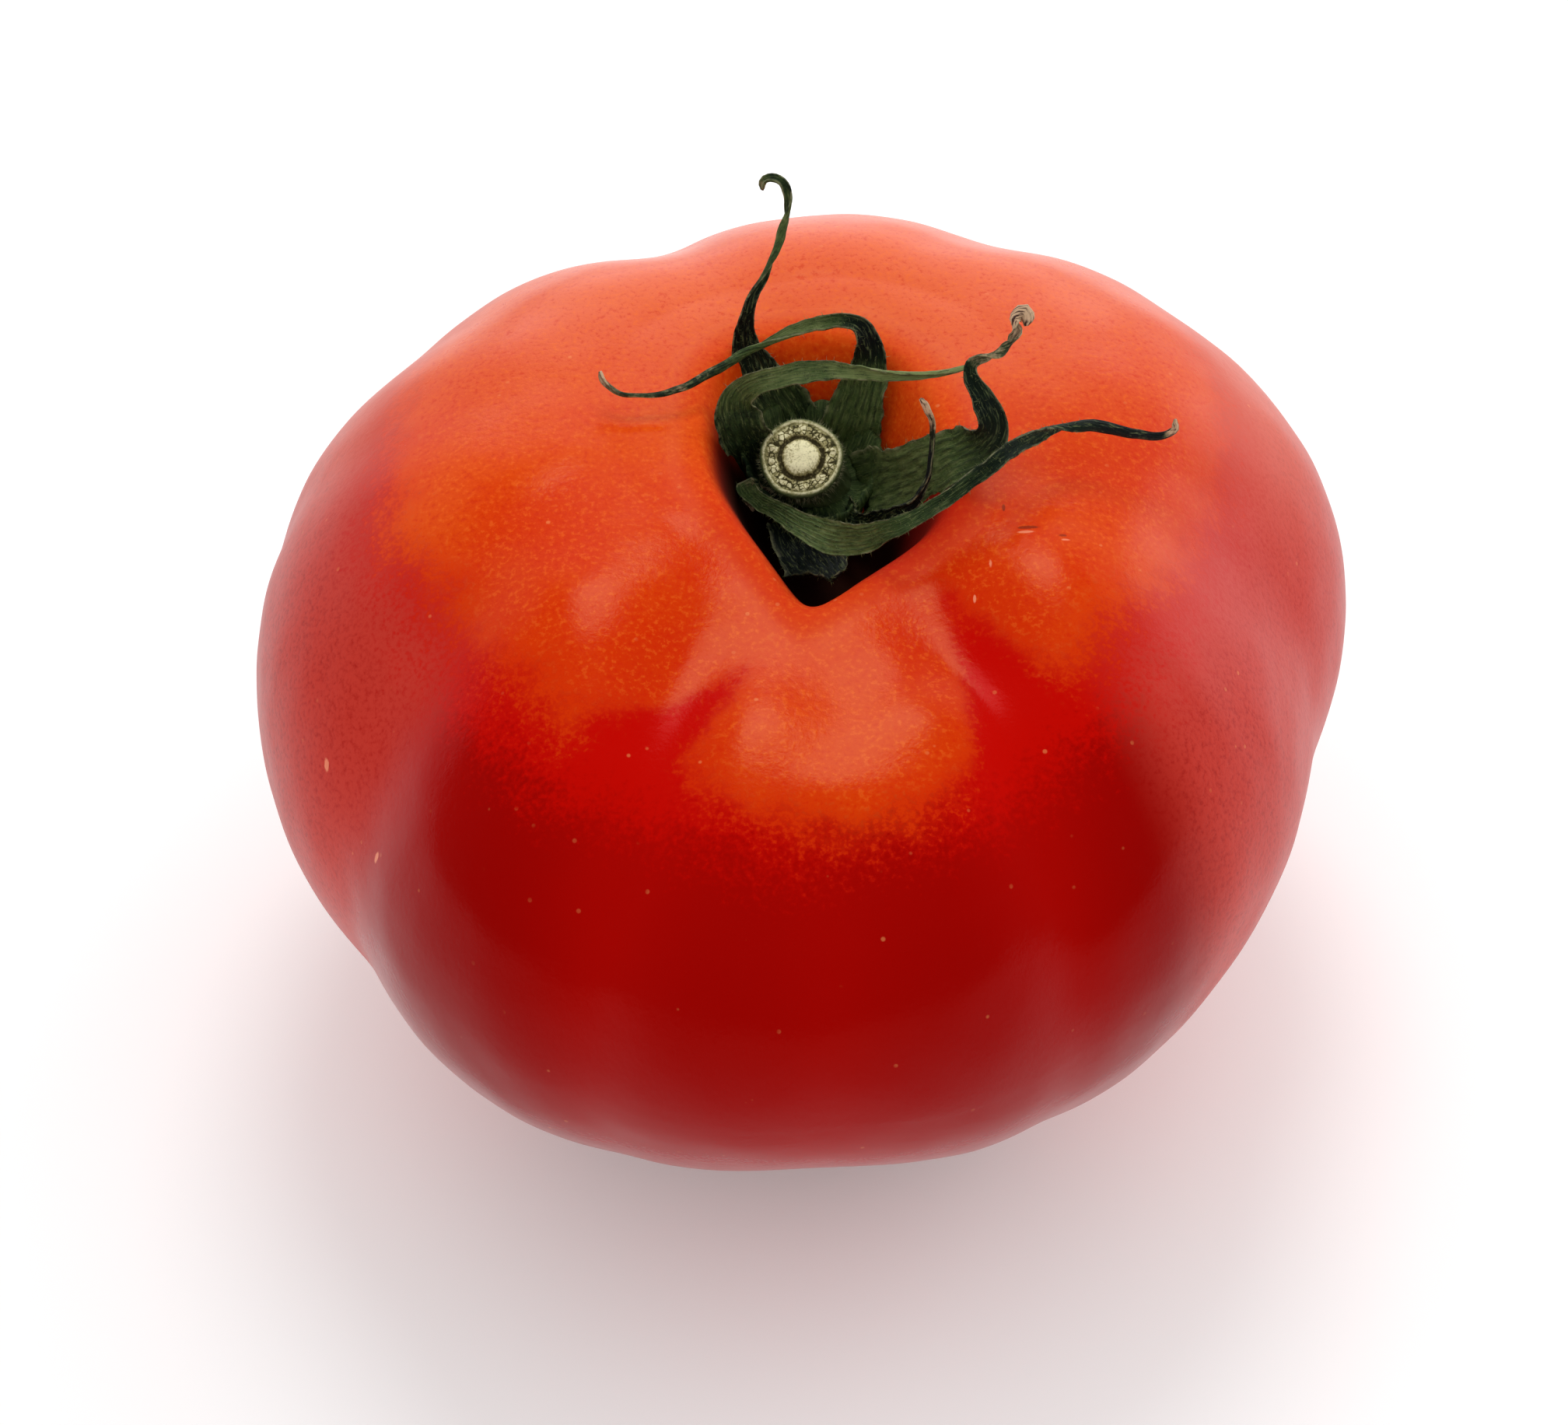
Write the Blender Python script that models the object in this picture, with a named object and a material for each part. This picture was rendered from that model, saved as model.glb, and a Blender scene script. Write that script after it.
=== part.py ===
"""A ripe beefsteak tomato with its dried calyx and the cut stub of its stem.

Every size is in millimetres and becomes metres where a mesh is made. +Z is up and the
fruit stands on z = 0, with the origin at the middle of its flat spot. -Y is the front.
"""

import math

import bmesh
import bpy
from mathutils import Vector

MM = 0.001

# Fruit: an oblate body, pushed in along its furrows, with a funnel where the stem grows.
FRUIT_RADIUS = 48.6
FRUIT_HEIGHT = 68.8
ROUNDNESS = 0.77  # power of sin(polar): below 1 fills out the shoulders
TOP_HEAVY = 0.075  # how much wider the shoulders are than the underside
OVAL, OVAL_AZIMUTH = 0.034, 62.0  # share of the radius, and where the outline is longest
TRIANGLE, TRIANGLE_AZIMUTH = 0.035, 31.0  # the same with three fuller sides
FLAT_SPOT_LIFT = 1.2  # how much of the rounded underside the flat spot takes away

STEM_SET_BACK = 6.0  # the stem grows this far behind the middle
SET_BACK_SPREAD = 28.0  # degrees from the stem over which the skin follows it
FUNNEL_DEPTH, FUNNEL_RADIUS = 6.5, 19.0

# The two tall shoulders in front of the stem leave a saddle between them.
SADDLE_DEPTH = 3.2
SADDLE_AZIMUTH, SADDLE_SPREAD = 273.0, 30.0
SADDLE_RADIUS, SADDLE_LENGTH = 26.0, 12.0

# The pit at the foot of the funnel: a deep hollow with five sides and a pointed front.
PIT_DEPTH = 10.8
PIT_CORNER = 0.16  # how much its corners are rounded, as a share of the wall
# Side of the pit: the azimuth that it faces, its distance from the stem, the width of its wall.
PIT_SIDES = (
    (213.0, 10.9, 7.0),
    (308.0, 15.6, 7.0),
    (10.0, 10.8, 7.5),
    (50.0, 10.1, 6.3),
    (90.0, 8.9, 6.2),
    (163.0, 8.8, 7.0),
)
PIT_OVERHANG = 0.25  # how far the wall reaches past its rim, as a share of its width

# Furrow: azimuth and half width in degrees, depth at the funnel's rim, the shoulder, the underside.
# The half width is the one at the fruit's waist, and opens out towards the stem.
FURROWS = (
    (26.0, 7.0, 0.3, 0.3, 0.5),
    (42.0, 8.0, 0.0, 1.2, 0.5),
    (64.0, 8.0, 0.0, 2.1, 0.9),
    (113.0, 8.0, 0.0, 3.0, 0.9),
    (146.0, 8.0, 0.0, 1.5, 0.8),
    (170.0, 8.0, 0.8, 0.9, 0.3),
    (214.0, 11.0, 0.0, 3.6, 1.6),
    (249.0, 7.0, 1.6, 2.0, 0.5),
    (272.0, 5.0, 0.0, 0.6, 0.0),
    (270.0, 24.0, 0.0, 2.1, 4.8),
    (297.0, 7.0, 1.8, 2.2, 0.3),
    (353.0, 18.0, 0.0, 4.6, 3.4),
)
# Where along the profile, from the stem, each of those depths is found, and its spread.
RIM_POLAR, RIM_SPREAD = 26.0, 16.0
SHOULDER_POLAR, SHOULDER_SPREAD = 58.0, 38.0
UNDERSIDE_POLAR, UNDERSIDE_SPREAD = 125.0, 30.0
FURROW_OPENING = 0.8  # 0 keeps each furrow's angle, 1 keeps its width in millimetres

RINGS = 40
RING_CROWDING = 1.5  # above 1 brings the rings closer together at the stem
AZIMUTH_STEPS = 72

# The disc that the sepals grow from lies in the pit, and the stem stands on the disc.
DISC_RADIUS = 4.0
DISC_BOTTOM, DISC_TOP = 51.1, 52.7
DISC_EDGE = 0.5  # how far its edge is rounded
STEM_FOOT = Vector((0.0, STEM_SET_BACK, 53.0))
STEM_FACE = Vector((-0.8, 3.3, 57.8))  # middle of the cut
STEM_RADIUS = 3.45
STEM_WAIST = 0.4  # how much slimmer it is halfway up
CUT_SLOPE = 31.0  # degrees that the cut faces forward from straight up
CUT_BEVEL = 0.35

SEPAL_THICKNESS = 0.6
SEPAL_CUP = 60.0  # degrees of arc across a sepal
SEPAL_FACING = Vector((0.0, -0.7, 0.7))  # what the hollow side of a sepal faces
SEPAL_STEPS = 3  # rings from one point of a sepal's course to the next

# Course of each sepal from the disc to its tip: x, y, z and width.
SEPALS = {
    "sepal_back_left": (
        (-1.6, 10.5, 52.6, 2.8),
        (-2.6, 10.7, 55.8, 4.8),
        (-4.1, 11.7, 58.8, 4.6),
        (-5.3, 12.8, 62.0, 3.0),
        (-5.2, 13.2, 65.6, 1.6),
        (-4.0, 14.2, 68.2, 1.2),
        (-2.8, 15.2, 70.5, 1.0),
        (-1.9, 16.3, 72.5, 1.0),
        (-1.8, 17.0, 74.0, 1.0),
        (-2.4, 17.5, 75.2, 1.0),
        (-3.6, 17.8, 75.2, 1.0),
        (-4.0, 17.6, 74.4, 0.9),
    ),
    "sepal_back": (
        (2.3, 10.0, 52.3, 3.0),
        (3.3, 9.7, 55.4, 4.4),
        (4.1, 10.2, 58.2, 4.2),
        (4.7, 10.8, 61.0, 3.4),
        (4.6, 11.4, 63.7, 2.2),
        (3.3, 12.0, 65.0, 1.5),
        (0.1, 11.6, 65.0, 1.5),
        (-4.0, 9.4, 64.5, 1.3),
        (-7.8, 7.0, 64.0, 1.1),
        (-11.5, 4.7, 63.6, 1.0),
        (-14.9, 4.2, 63.7, 0.9),
        (-16.6, 5.0, 64.1, 0.9),
        (-17.2, 5.8, 64.8, 0.9),
    ),
    "sepal_left": (
        (-4.5, 6.6, 53.9, 1.8),
        (-5.5, 5.4, 57.3, 3.3),
        (-6.3, 4.2, 59.9, 4.4),
        (-6.8, 4.3, 62.1, 3.8),
        (-5.9, 4.4, 63.9, 2.6),
        (-3.4, 3.9, 65.5, 2.2),
        (0.6, 3.6, 66.5, 2.2),
        (3.5, 3.2, 66.8, 1.4),
        (8.9, 3.0, 66.8, 1.0),
        (13.0, 4.3, 66.6, 0.8),
    ),
    "sepal_right": (
        (4.4, 4.9, 52.4, 3.0),
        (5.8, 2.2, 55.4, 4.4),
        (8.2, 0.2, 58.4, 4.6),
        (11.1, -2.2, 62.0, 4.6),
        (13.5, -3.6, 64.6, 4.2),
        (14.4, -3.6, 66.6, 3.2),
        (13.7, -2.7, 68.5, 2.6),
        (12.7, -1.4, 70.0, 1.8),
        (13.0, -0.6, 70.9, 1.4),
        (15.3, 0.1, 71.6, 1.2),
        (16.2, 0.9, 72.4, 1.1),
        (16.0, 1.8, 73.4, 1.2),
        (16.9, 2.1, 73.7, 1.2),
        (17.1, 1.4, 72.9, 1.1),
    ),
    "sepal_front_right": (
        (-4.2, 3.6, 52.9, 2.4),
        (-5.2, 2.0, 55.5, 2.6),
        (-4.4, -0.6, 56.6, 2.8),
        (-2.0, -3.6, 57.3, 2.8),
        (0.6, -6.6, 58.0, 2.8),
        (3.4, -9.4, 59.9, 2.8),
        (6.9, -11.4, 62.9, 2.6),
        (10.2, -10.3, 64.4, 2.5),
        (13.2, -8.4, 65.7, 2.0),
        (15.5, -6.5, 66.4, 1.5),
        (19.4, -2.5, 65.7, 1.3),
        (22.0, -1.8, 65.5, 1.2),
        (24.1, -1.8, 65.0, 1.1),
        (26.1, -1.9, 64.4, 1.0),
        (28.1, -1.7, 64.0, 0.9),
        (29.3, -1.4, 64.5, 0.9),
        (29.2, -1.0, 65.3, 0.9),
    ),
    "sepal_front": (
        (-1.2, 1.6, 52.0, 3.0),
        (-1.3, -0.9, 52.7, 4.0),
        (-0.1, -4.4, 54.3, 3.6),
        (0.8, -6.8, 55.8, 2.6),
        (1.3, -8.6, 57.0, 1.2),
    ),
    "sepal_small": (
        (2.6, 2.2, 52.4, 2.2),
        (4.2, -1.0, 54.2, 2.0),
        (6.8, -4.6, 58.4, 1.5),
        (8.5, -6.0, 61.5, 1.2),
        (9.3, -5.8, 63.6, 1.0),
        (9.5, -5.0, 65.6, 1.0),
        (9.5, -4.9, 68.0, 1.0),
        (8.7, -4.6, 70.3, 1.0),
    ),
}


def clear_scene():
    for obj in list(bpy.data.objects):
        bpy.data.objects.remove(obj)


def bump(value, centre, spread):
    return math.exp(-(((value - centre) / spread) ** 2))


def furrow_depth(polar, azimuth):
    """How far the skin is pushed in at these two angles, in degrees."""
    rim = bump(polar, RIM_POLAR, RIM_SPREAD)
    shoulder = bump(polar, SHOULDER_POLAR, SHOULDER_SPREAD)
    underside = bump(polar, UNDERSIDE_POLAR, UNDERSIDE_SPREAD)
    opening = max(math.sin(math.radians(polar)), 0.25) ** FURROW_OPENING
    depth = 0.0
    for centre, half_width, at_rim, at_shoulder, below in FURROWS:
        away = (azimuth - centre + 180.0) % 360.0 - 180.0
        push = at_rim * rim + at_shoulder * shoulder + below * underside
        depth += push / (1.0 + (away * opening / half_width) ** 2)
    return depth


def outline(azimuth):
    """The plan outline's radius here, as a share of the mean."""
    oval = OVAL * math.cos(2.0 * math.radians(azimuth - OVAL_AZIMUTH))
    triangle = TRIANGLE * math.cos(3.0 * math.radians(azimuth - TRIANGLE_AZIMUTH))
    return 1.0 + oval + triangle


def cavity_depth(radius, azimuth):
    """How far the stem's funnel, the saddle and the pit lower the top."""
    crowding = 0.0
    for side, distance, wall in PIT_SIDES:
        inside = (distance - radius * math.cos(math.radians(azimuth - side))) / wall
        crowding += math.exp(-inside / PIT_CORNER)
    inside = min(max(PIT_OVERHANG - PIT_CORNER * math.log(crowding), 0.0), 1.0)
    pit = PIT_DEPTH * inside * inside * (3.0 - 2.0 * inside)
    saddle = SADDLE_DEPTH * bump(azimuth, SADDLE_AZIMUTH, SADDLE_SPREAD)
    saddle *= bump(radius, SADDLE_RADIUS, SADDLE_LENGTH)
    return FUNNEL_DEPTH * bump(radius, 0.0, FUNNEL_RADIUS) + saddle + pit


def fruit_point(polar, azimuth):
    """A point of the skin. polar is 0 at the stem and 180 under the fruit, in degrees."""
    sine = math.sin(math.radians(polar))
    cosine = math.cos(math.radians(polar))
    depth = furrow_depth(polar, azimuth)
    radius = FRUIT_RADIUS * outline(azimuth) * max(sine, 0.0) ** ROUNDNESS * (1.0 + TOP_HEAVY * cosine)
    radius = max(radius - depth * sine, 0.0)
    height = FRUIT_HEIGHT / 2.0 * (1.0 + cosine) - depth * cosine
    if polar < 90.0:
        height -= cavity_depth(radius, azimuth)
    height = max(height - FLAT_SPOT_LIFT, 0.0)
    set_back = STEM_SET_BACK * bump(polar, 0.0, SET_BACK_SPREAD)
    turn = math.radians(azimuth)
    return Vector((radius * math.cos(turn), radius * math.sin(turn) + set_back, height))


def new_object(name, mesh_data, colour, roughness):
    material = bpy.data.materials.new(name)
    material.use_nodes = True
    shader = material.node_tree.nodes["Principled BSDF"]
    shader.inputs["Base Color"].default_value = (*colour, 1.0)
    shader.inputs["Roughness"].default_value = roughness
    mesh = bpy.data.meshes.new(name)
    mesh_data.to_mesh(mesh)
    mesh_data.free()
    mesh.materials.append(material)
    mesh.shade_smooth()
    obj = bpy.data.objects.new(name, mesh)
    bpy.context.scene.collection.objects.link(obj)
    return obj


def make_fruit():
    shape = bmesh.new()
    top = shape.verts.new(fruit_point(0.0, 0.0) * MM)
    rings = []
    for ring in range(1, RINGS):
        polar = 180.0 * (ring / RINGS) ** RING_CROWDING
        rings.append(
            [
                shape.verts.new(fruit_point(polar, 360.0 * step / AZIMUTH_STEPS) * MM)
                for step in range(AZIMUTH_STEPS)
            ]
        )
    bottom = shape.verts.new(fruit_point(180.0, 0.0) * MM)
    for step in range(AZIMUTH_STEPS):
        after = (step + 1) % AZIMUTH_STEPS
        shape.faces.new((top, rings[0][step], rings[0][after]))
        for upper, lower in zip(rings, rings[1:]):
            shape.faces.new((upper[step], lower[step], lower[after], upper[after]))
        shape.faces.new((rings[-1][step], bottom, rings[-1][after]))
    bmesh.ops.recalc_face_normals(shape, faces=shape.faces)
    return new_object("fruit", shape, (0.72, 0.03, 0.01), 0.35)


def fill_between(shape, rings):
    """Joins closed rings of equal length and closes both ends."""
    count = len(rings[0])
    for ring, following in zip(rings, rings[1:]):
        for step in range(count):
            after = (step + 1) % count
            shape.faces.new((ring[step], ring[after], following[after], following[step]))
    shape.faces.new(rings[0])
    shape.faces.new(rings[-1])
    bmesh.ops.recalc_face_normals(shape, faces=shape.faces)


def ring_around(shape, centre, normal, radius, count):
    across = normal.cross(Vector((0.0, 1.0, 0.0))).normalized()
    along = normal.cross(across)
    ring = []
    for step in range(count):
        turn = 2.0 * math.pi * step / count
        place = centre + (across * math.cos(turn) + along * math.sin(turn)) * radius
        ring.append(shape.verts.new(place * MM))
    return ring


def make_disc():
    shape = bmesh.new()
    profile = (
        (DISC_BOTTOM, DISC_RADIUS - DISC_EDGE),
        (DISC_BOTTOM + DISC_EDGE, DISC_RADIUS),
        (DISC_TOP - DISC_EDGE, DISC_RADIUS),
        (DISC_TOP, DISC_RADIUS - DISC_EDGE),
    )
    rings = []
    for height, radius in profile:
        centre = Vector((0.0, STEM_SET_BACK, height))
        rings.append(ring_around(shape, centre, Vector((0.0, 0.0, 1.0)), radius, 32))
    fill_between(shape, rings)
    return new_object("calyx_disc", shape, (0.05, 0.10, 0.03), 0.8)


def make_stem():
    shape = bmesh.new()
    slope = math.radians(CUT_SLOPE)
    cut_normal = Vector((0.0, -math.sin(slope), math.cos(slope)))
    rings = []
    for step in range(7):
        share = step / 6.0
        centre = STEM_FOOT.lerp(STEM_FACE - cut_normal * CUT_BEVEL, share)
        normal = Vector((0.0, 0.0, 1.0)).lerp(cut_normal, share).normalized()
        radius = STEM_RADIUS - STEM_WAIST * math.sin(math.pi * share)
        rings.append(ring_around(shape, centre, normal, radius, 32))
    rings.append(ring_around(shape, STEM_FACE, cut_normal, STEM_RADIUS - CUT_BEVEL, 32))
    fill_between(shape, rings)
    return new_object("stem_stub", shape, (0.10, 0.17, 0.05), 0.8)


def smooth_course(stations):
    """Points and widths along a smooth curve through the stations."""
    rows = [Vector(station).copy() for station in stations]
    rows = [rows[0] * 2.0 - rows[1], *rows, rows[-1] * 2.0 - rows[-2]]
    course = []
    for before, start, end, after in zip(rows, rows[1:], rows[2:], rows[3:]):
        for step in range(SEPAL_STEPS):
            t = step / SEPAL_STEPS
            bend = (before * 2.0 - start * 5.0 + end * 4.0 - after) * t * t
            twist = (start * 3.0 - before - end * 3.0 + after) * t * t * t
            course.append((start * 2.0 + (end - before) * t + bend + twist) * 0.5)
    course.append(rows[-2])
    return course


def make_sepal(name, stations):
    """A thin blade that follows its course and is cupped towards SEPAL_FACING."""
    shape = bmesh.new()
    course = smooth_course(stations)
    half_cup = math.radians(SEPAL_CUP) / 2.0
    angles = [half_cup * (step - 2) / 2.0 for step in range(5)]
    rings = []
    for index, row in enumerate(course):
        ahead = course[min(index + 1, len(course) - 1)].xyz
        tangent = (ahead - course[max(index - 1, 0)].xyz).normalized()
        side = tangent.cross(SEPAL_FACING).normalized()
        normal = side.cross(tangent)
        radius = row.w / 2.0 / half_cup
        outer = radius + SEPAL_THICKNESS / 2.0
        inner = radius - SEPAL_THICKNESS / 2.0
        centre = row.xyz + normal * radius
        around = [(outer, angle) for angle in angles] + [(inner, angle) for angle in reversed(angles)]
        ring = []
        for reach, angle in around:
            place = centre + (side * math.sin(angle) - normal * math.cos(angle)) * reach
            ring.append(shape.verts.new(place * MM))
        rings.append(ring)
    fill_between(shape, rings)
    return new_object(name, shape, (0.07, 0.12, 0.05), 0.75)


def main():
    clear_scene()
    make_fruit()
    make_disc()
    make_stem()
    for name, stations in SEPALS.items():
        make_sepal(name, stations)


main()
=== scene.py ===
"""A ripe beefsteak tomato with its wilted calyx and cut stem, as it looks.

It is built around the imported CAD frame. Sizes are in millimetres and become metres where a
mesh is made. +Z is up, the fruit stands on z = 0, and -Y is the front.
"""

import math

import bpy
import numpy as np
from mathutils import Matrix, Vector, noise


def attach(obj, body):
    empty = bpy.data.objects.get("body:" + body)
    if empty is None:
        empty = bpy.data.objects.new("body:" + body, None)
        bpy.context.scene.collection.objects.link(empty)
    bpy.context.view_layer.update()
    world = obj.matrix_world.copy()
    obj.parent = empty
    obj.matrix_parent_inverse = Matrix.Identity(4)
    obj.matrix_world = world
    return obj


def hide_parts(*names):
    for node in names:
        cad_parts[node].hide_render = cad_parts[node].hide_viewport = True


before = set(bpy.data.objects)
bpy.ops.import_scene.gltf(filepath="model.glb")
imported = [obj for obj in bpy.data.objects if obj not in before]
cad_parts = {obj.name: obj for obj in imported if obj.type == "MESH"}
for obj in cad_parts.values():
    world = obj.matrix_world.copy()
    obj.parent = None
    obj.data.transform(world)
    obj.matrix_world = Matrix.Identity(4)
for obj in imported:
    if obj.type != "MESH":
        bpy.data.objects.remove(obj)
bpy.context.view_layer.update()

MM = 0.001
rng = np.random.default_rng(7)
noise.seed_set(7)  # noise_vector would otherwise start from the clock

# ---------------------------------------------------------------- the fruit's shape, as in the CAD

FRUIT_RADIUS = 48.6
FRUIT_HEIGHT = 68.8
ROUNDNESS = 0.77
TOP_HEAVY = 0.075
OVAL, OVAL_AZIMUTH = 0.034, 62.0
TRIANGLE, TRIANGLE_AZIMUTH = 0.035, 31.0
FLAT_SPOT_LIFT = 1.2

STEM_SET_BACK = 6.0
SET_BACK_SPREAD = 28.0
FUNNEL_DEPTH, FUNNEL_RADIUS = 6.5, 19.0

SADDLE_DEPTH = 3.2
SADDLE_AZIMUTH, SADDLE_SPREAD = 273.0, 30.0
SADDLE_RADIUS, SADDLE_LENGTH = 26.0, 12.0

PIT_DEPTH = 10.8
PIT_CORNER = 0.16
# Side of the pit: the azimuth that it faces, its distance from the stem, the width of its wall.
# The skin touches the sepals, so these walls stand up to 2 mm closer to the stem than in the CAD.
PIT_SIDES = (
    (213.0, 11.2, 6.5),
    (308.0, 15.6, 7.0),
    (10.0, 9.0, 6.8),
    (50.0, 8.6, 6.0),
    (90.0, 8.0, 5.8),
    (135.0, 8.6, 6.2),
    (178.0, 7.6, 6.2),
)
PIT_OVERHANG = 0.25

# Furrow: azimuth and half width in degrees, depth at the funnel's rim, the shoulder, the underside.
FURROWS = (
    (26.0, 7.0, 0.3, 0.3, 0.5),
    (42.0, 8.0, 0.0, 1.2, 0.5),
    (64.0, 8.0, 0.0, 2.1, 0.9),
    (113.0, 8.0, 0.0, 3.0, 0.9),
    (146.0, 8.0, 0.0, 1.5, 0.8),
    (170.0, 8.0, 0.8, 0.9, 0.3),
    (214.0, 11.0, 0.0, 3.6, 1.6),
    (249.0, 7.0, 1.6, 2.0, 0.5),
    (272.0, 5.0, 0.0, 0.6, 0.0),
    (270.0, 24.0, 0.0, 2.1, 4.8),
    (297.0, 7.0, 1.8, 2.2, 0.3),
    (353.0, 18.0, 0.0, 4.6, 3.4),
)
RIM_POLAR, RIM_SPREAD = 26.0, 16.0
SHOULDER_POLAR, SHOULDER_SPREAD = 58.0, 38.0
UNDERSIDE_POLAR, UNDERSIDE_SPREAD = 125.0, 30.0
FURROW_OPENING = 0.8

SKIN_RINGS = 210
SKIN_STEPS = 400
SKIN_CROWDING = 1.25


def bump(value, centre, spread):
    return np.exp(-(((value - centre) / spread) ** 2))


def between(value, low, high):
    """0 below low, 1 above high, and smooth in between."""
    share = np.clip((value - low) / (high - low), 0.0, 1.0)
    return share * share * (3.0 - 2.0 * share)


def turn_from(azimuth, centre):
    return (azimuth - centre + 180.0) % 360.0 - 180.0


def furrow_depth(polar, azimuth):
    rim = bump(polar, RIM_POLAR, RIM_SPREAD)
    shoulder = bump(polar, SHOULDER_POLAR, SHOULDER_SPREAD)
    underside = bump(polar, UNDERSIDE_POLAR, UNDERSIDE_SPREAD)
    opening = np.maximum(np.sin(np.radians(polar)), 0.25) ** FURROW_OPENING
    depth = np.zeros_like(polar)
    for centre, half_width, at_rim, at_shoulder, below in FURROWS:
        push = at_rim * rim + at_shoulder * shoulder + below * underside
        depth += push / (1.0 + (turn_from(azimuth, centre) * opening / half_width) ** 2)
    return depth


def outline(azimuth):
    oval = OVAL * np.cos(2.0 * np.radians(azimuth - OVAL_AZIMUTH))
    triangle = TRIANGLE * np.cos(3.0 * np.radians(azimuth - TRIANGLE_AZIMUTH))
    return 1.0 + oval + triangle


def pit_inside(radius, azimuth):
    """How far inside the pit's rim a point is, as a share of the wall's width. Outside is below 0."""
    crowding = np.zeros_like(radius)
    for side, distance, wall in PIT_SIDES:
        inside = (distance - radius * np.cos(np.radians(azimuth - side))) / wall
        crowding += np.exp(-inside / PIT_CORNER)
    return PIT_OVERHANG - PIT_CORNER * np.log(crowding)


def pit_share(radius, azimuth):
    """How deep into the pit a point is, from 0 at its rim to 1 on its floor."""
    return between(pit_inside(radius, azimuth), 0.0, 1.0)


def fruit_point(polar, azimuth):
    """Points of the skin as rows of x, y, z. polar is 0 at the stem, in degrees."""
    sine = np.maximum(np.sin(np.radians(polar)), 0.0)
    cosine = np.cos(np.radians(polar))
    depth = furrow_depth(polar, azimuth)
    radius = FRUIT_RADIUS * outline(azimuth) * sine**ROUNDNESS * (1.0 + TOP_HEAVY * cosine)
    radius = np.maximum(radius - depth * sine, 0.0)
    height = FRUIT_HEIGHT / 2.0 * (1.0 + cosine) - depth * cosine
    saddle = SADDLE_DEPTH * bump(azimuth, SADDLE_AZIMUTH, SADDLE_SPREAD)
    saddle = saddle * bump(radius, SADDLE_RADIUS, SADDLE_LENGTH)
    funnel = FUNNEL_DEPTH * bump(radius, 0.0, FUNNEL_RADIUS)
    cavity = funnel + saddle + PIT_DEPTH * pit_share(radius, azimuth)
    height = height - np.where(polar < 90.0, cavity, 0.0)
    height = np.maximum(height - FLAT_SPOT_LIFT, 0.0)
    set_back = STEM_SET_BACK * bump(polar, 0.0, SET_BACK_SPREAD)
    turn = np.radians(azimuth)
    return np.stack([radius * np.cos(turn), radius * np.sin(turn) + set_back, height], axis=-1)


# ---------------------------------------------------------------- helpers for meshes and materials

HAIR_RADIUS = 0.022


def new_object(name, points, faces, material):
    """A smooth mesh of these points, given in mm."""
    mesh = bpy.data.meshes.new(name)
    mesh.from_pydata((np.asarray(points) * MM).tolist(), [], faces)
    mesh.materials.append(material)
    mesh.shade_smooth()
    mesh.update()
    obj = bpy.data.objects.new(name, mesh)
    bpy.context.scene.collection.objects.link(obj)
    return obj


def add_values(obj, name, values):
    layer = obj.data.attributes.new(name, "FLOAT", "POINT")
    layer.data.foreach_set("value", np.asarray(values, np.float32).ravel())


def add_vectors(obj, name, values):
    layer = obj.data.attributes.new(name, "FLOAT_VECTOR", "POINT")
    layer.data.foreach_set("vector", np.asarray(values, np.float32).ravel())


def tube_faces(ring_count, step_count):
    """Quads of a closed tube whose rings follow one another, with both ends closed by one face."""
    faces = []
    for ring in range(ring_count - 1):
        start = ring * step_count
        for step in range(step_count):
            after = (step + 1) % step_count
            above = start + step_count
            faces.append((start + step, start + after, above + after, above + step))
    faces.append(tuple(range(step_count))[::-1])
    faces.append(tuple((ring_count - 1) * step_count + step for step in range(step_count)))
    return faces


def ray(turn, height=0.0):
    """A level arm of length 1 at this turn, in radians, raised to height."""
    return Vector((math.cos(turn), math.sin(turn), height))


def add_hair(points, faces, root, direction, length):
    """Adds one fine hair: a three-sided spike, closed at its foot."""
    side = direction.orthogonal().normalized() * HAIR_RADIUS
    start = len(points)
    for turn in (0.0, 120.0, 240.0):
        turned = Matrix.Rotation(math.radians(turn), 3, direction) @ side
        points.append(root + turned - direction * 0.05)
    points.append(root + direction * length)
    faces.extend([(start, start + 2, start + 1), (start, start + 1, start + 3)])
    faces.extend([(start + 1, start + 2, start + 3), (start + 2, start, start + 3)])


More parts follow.
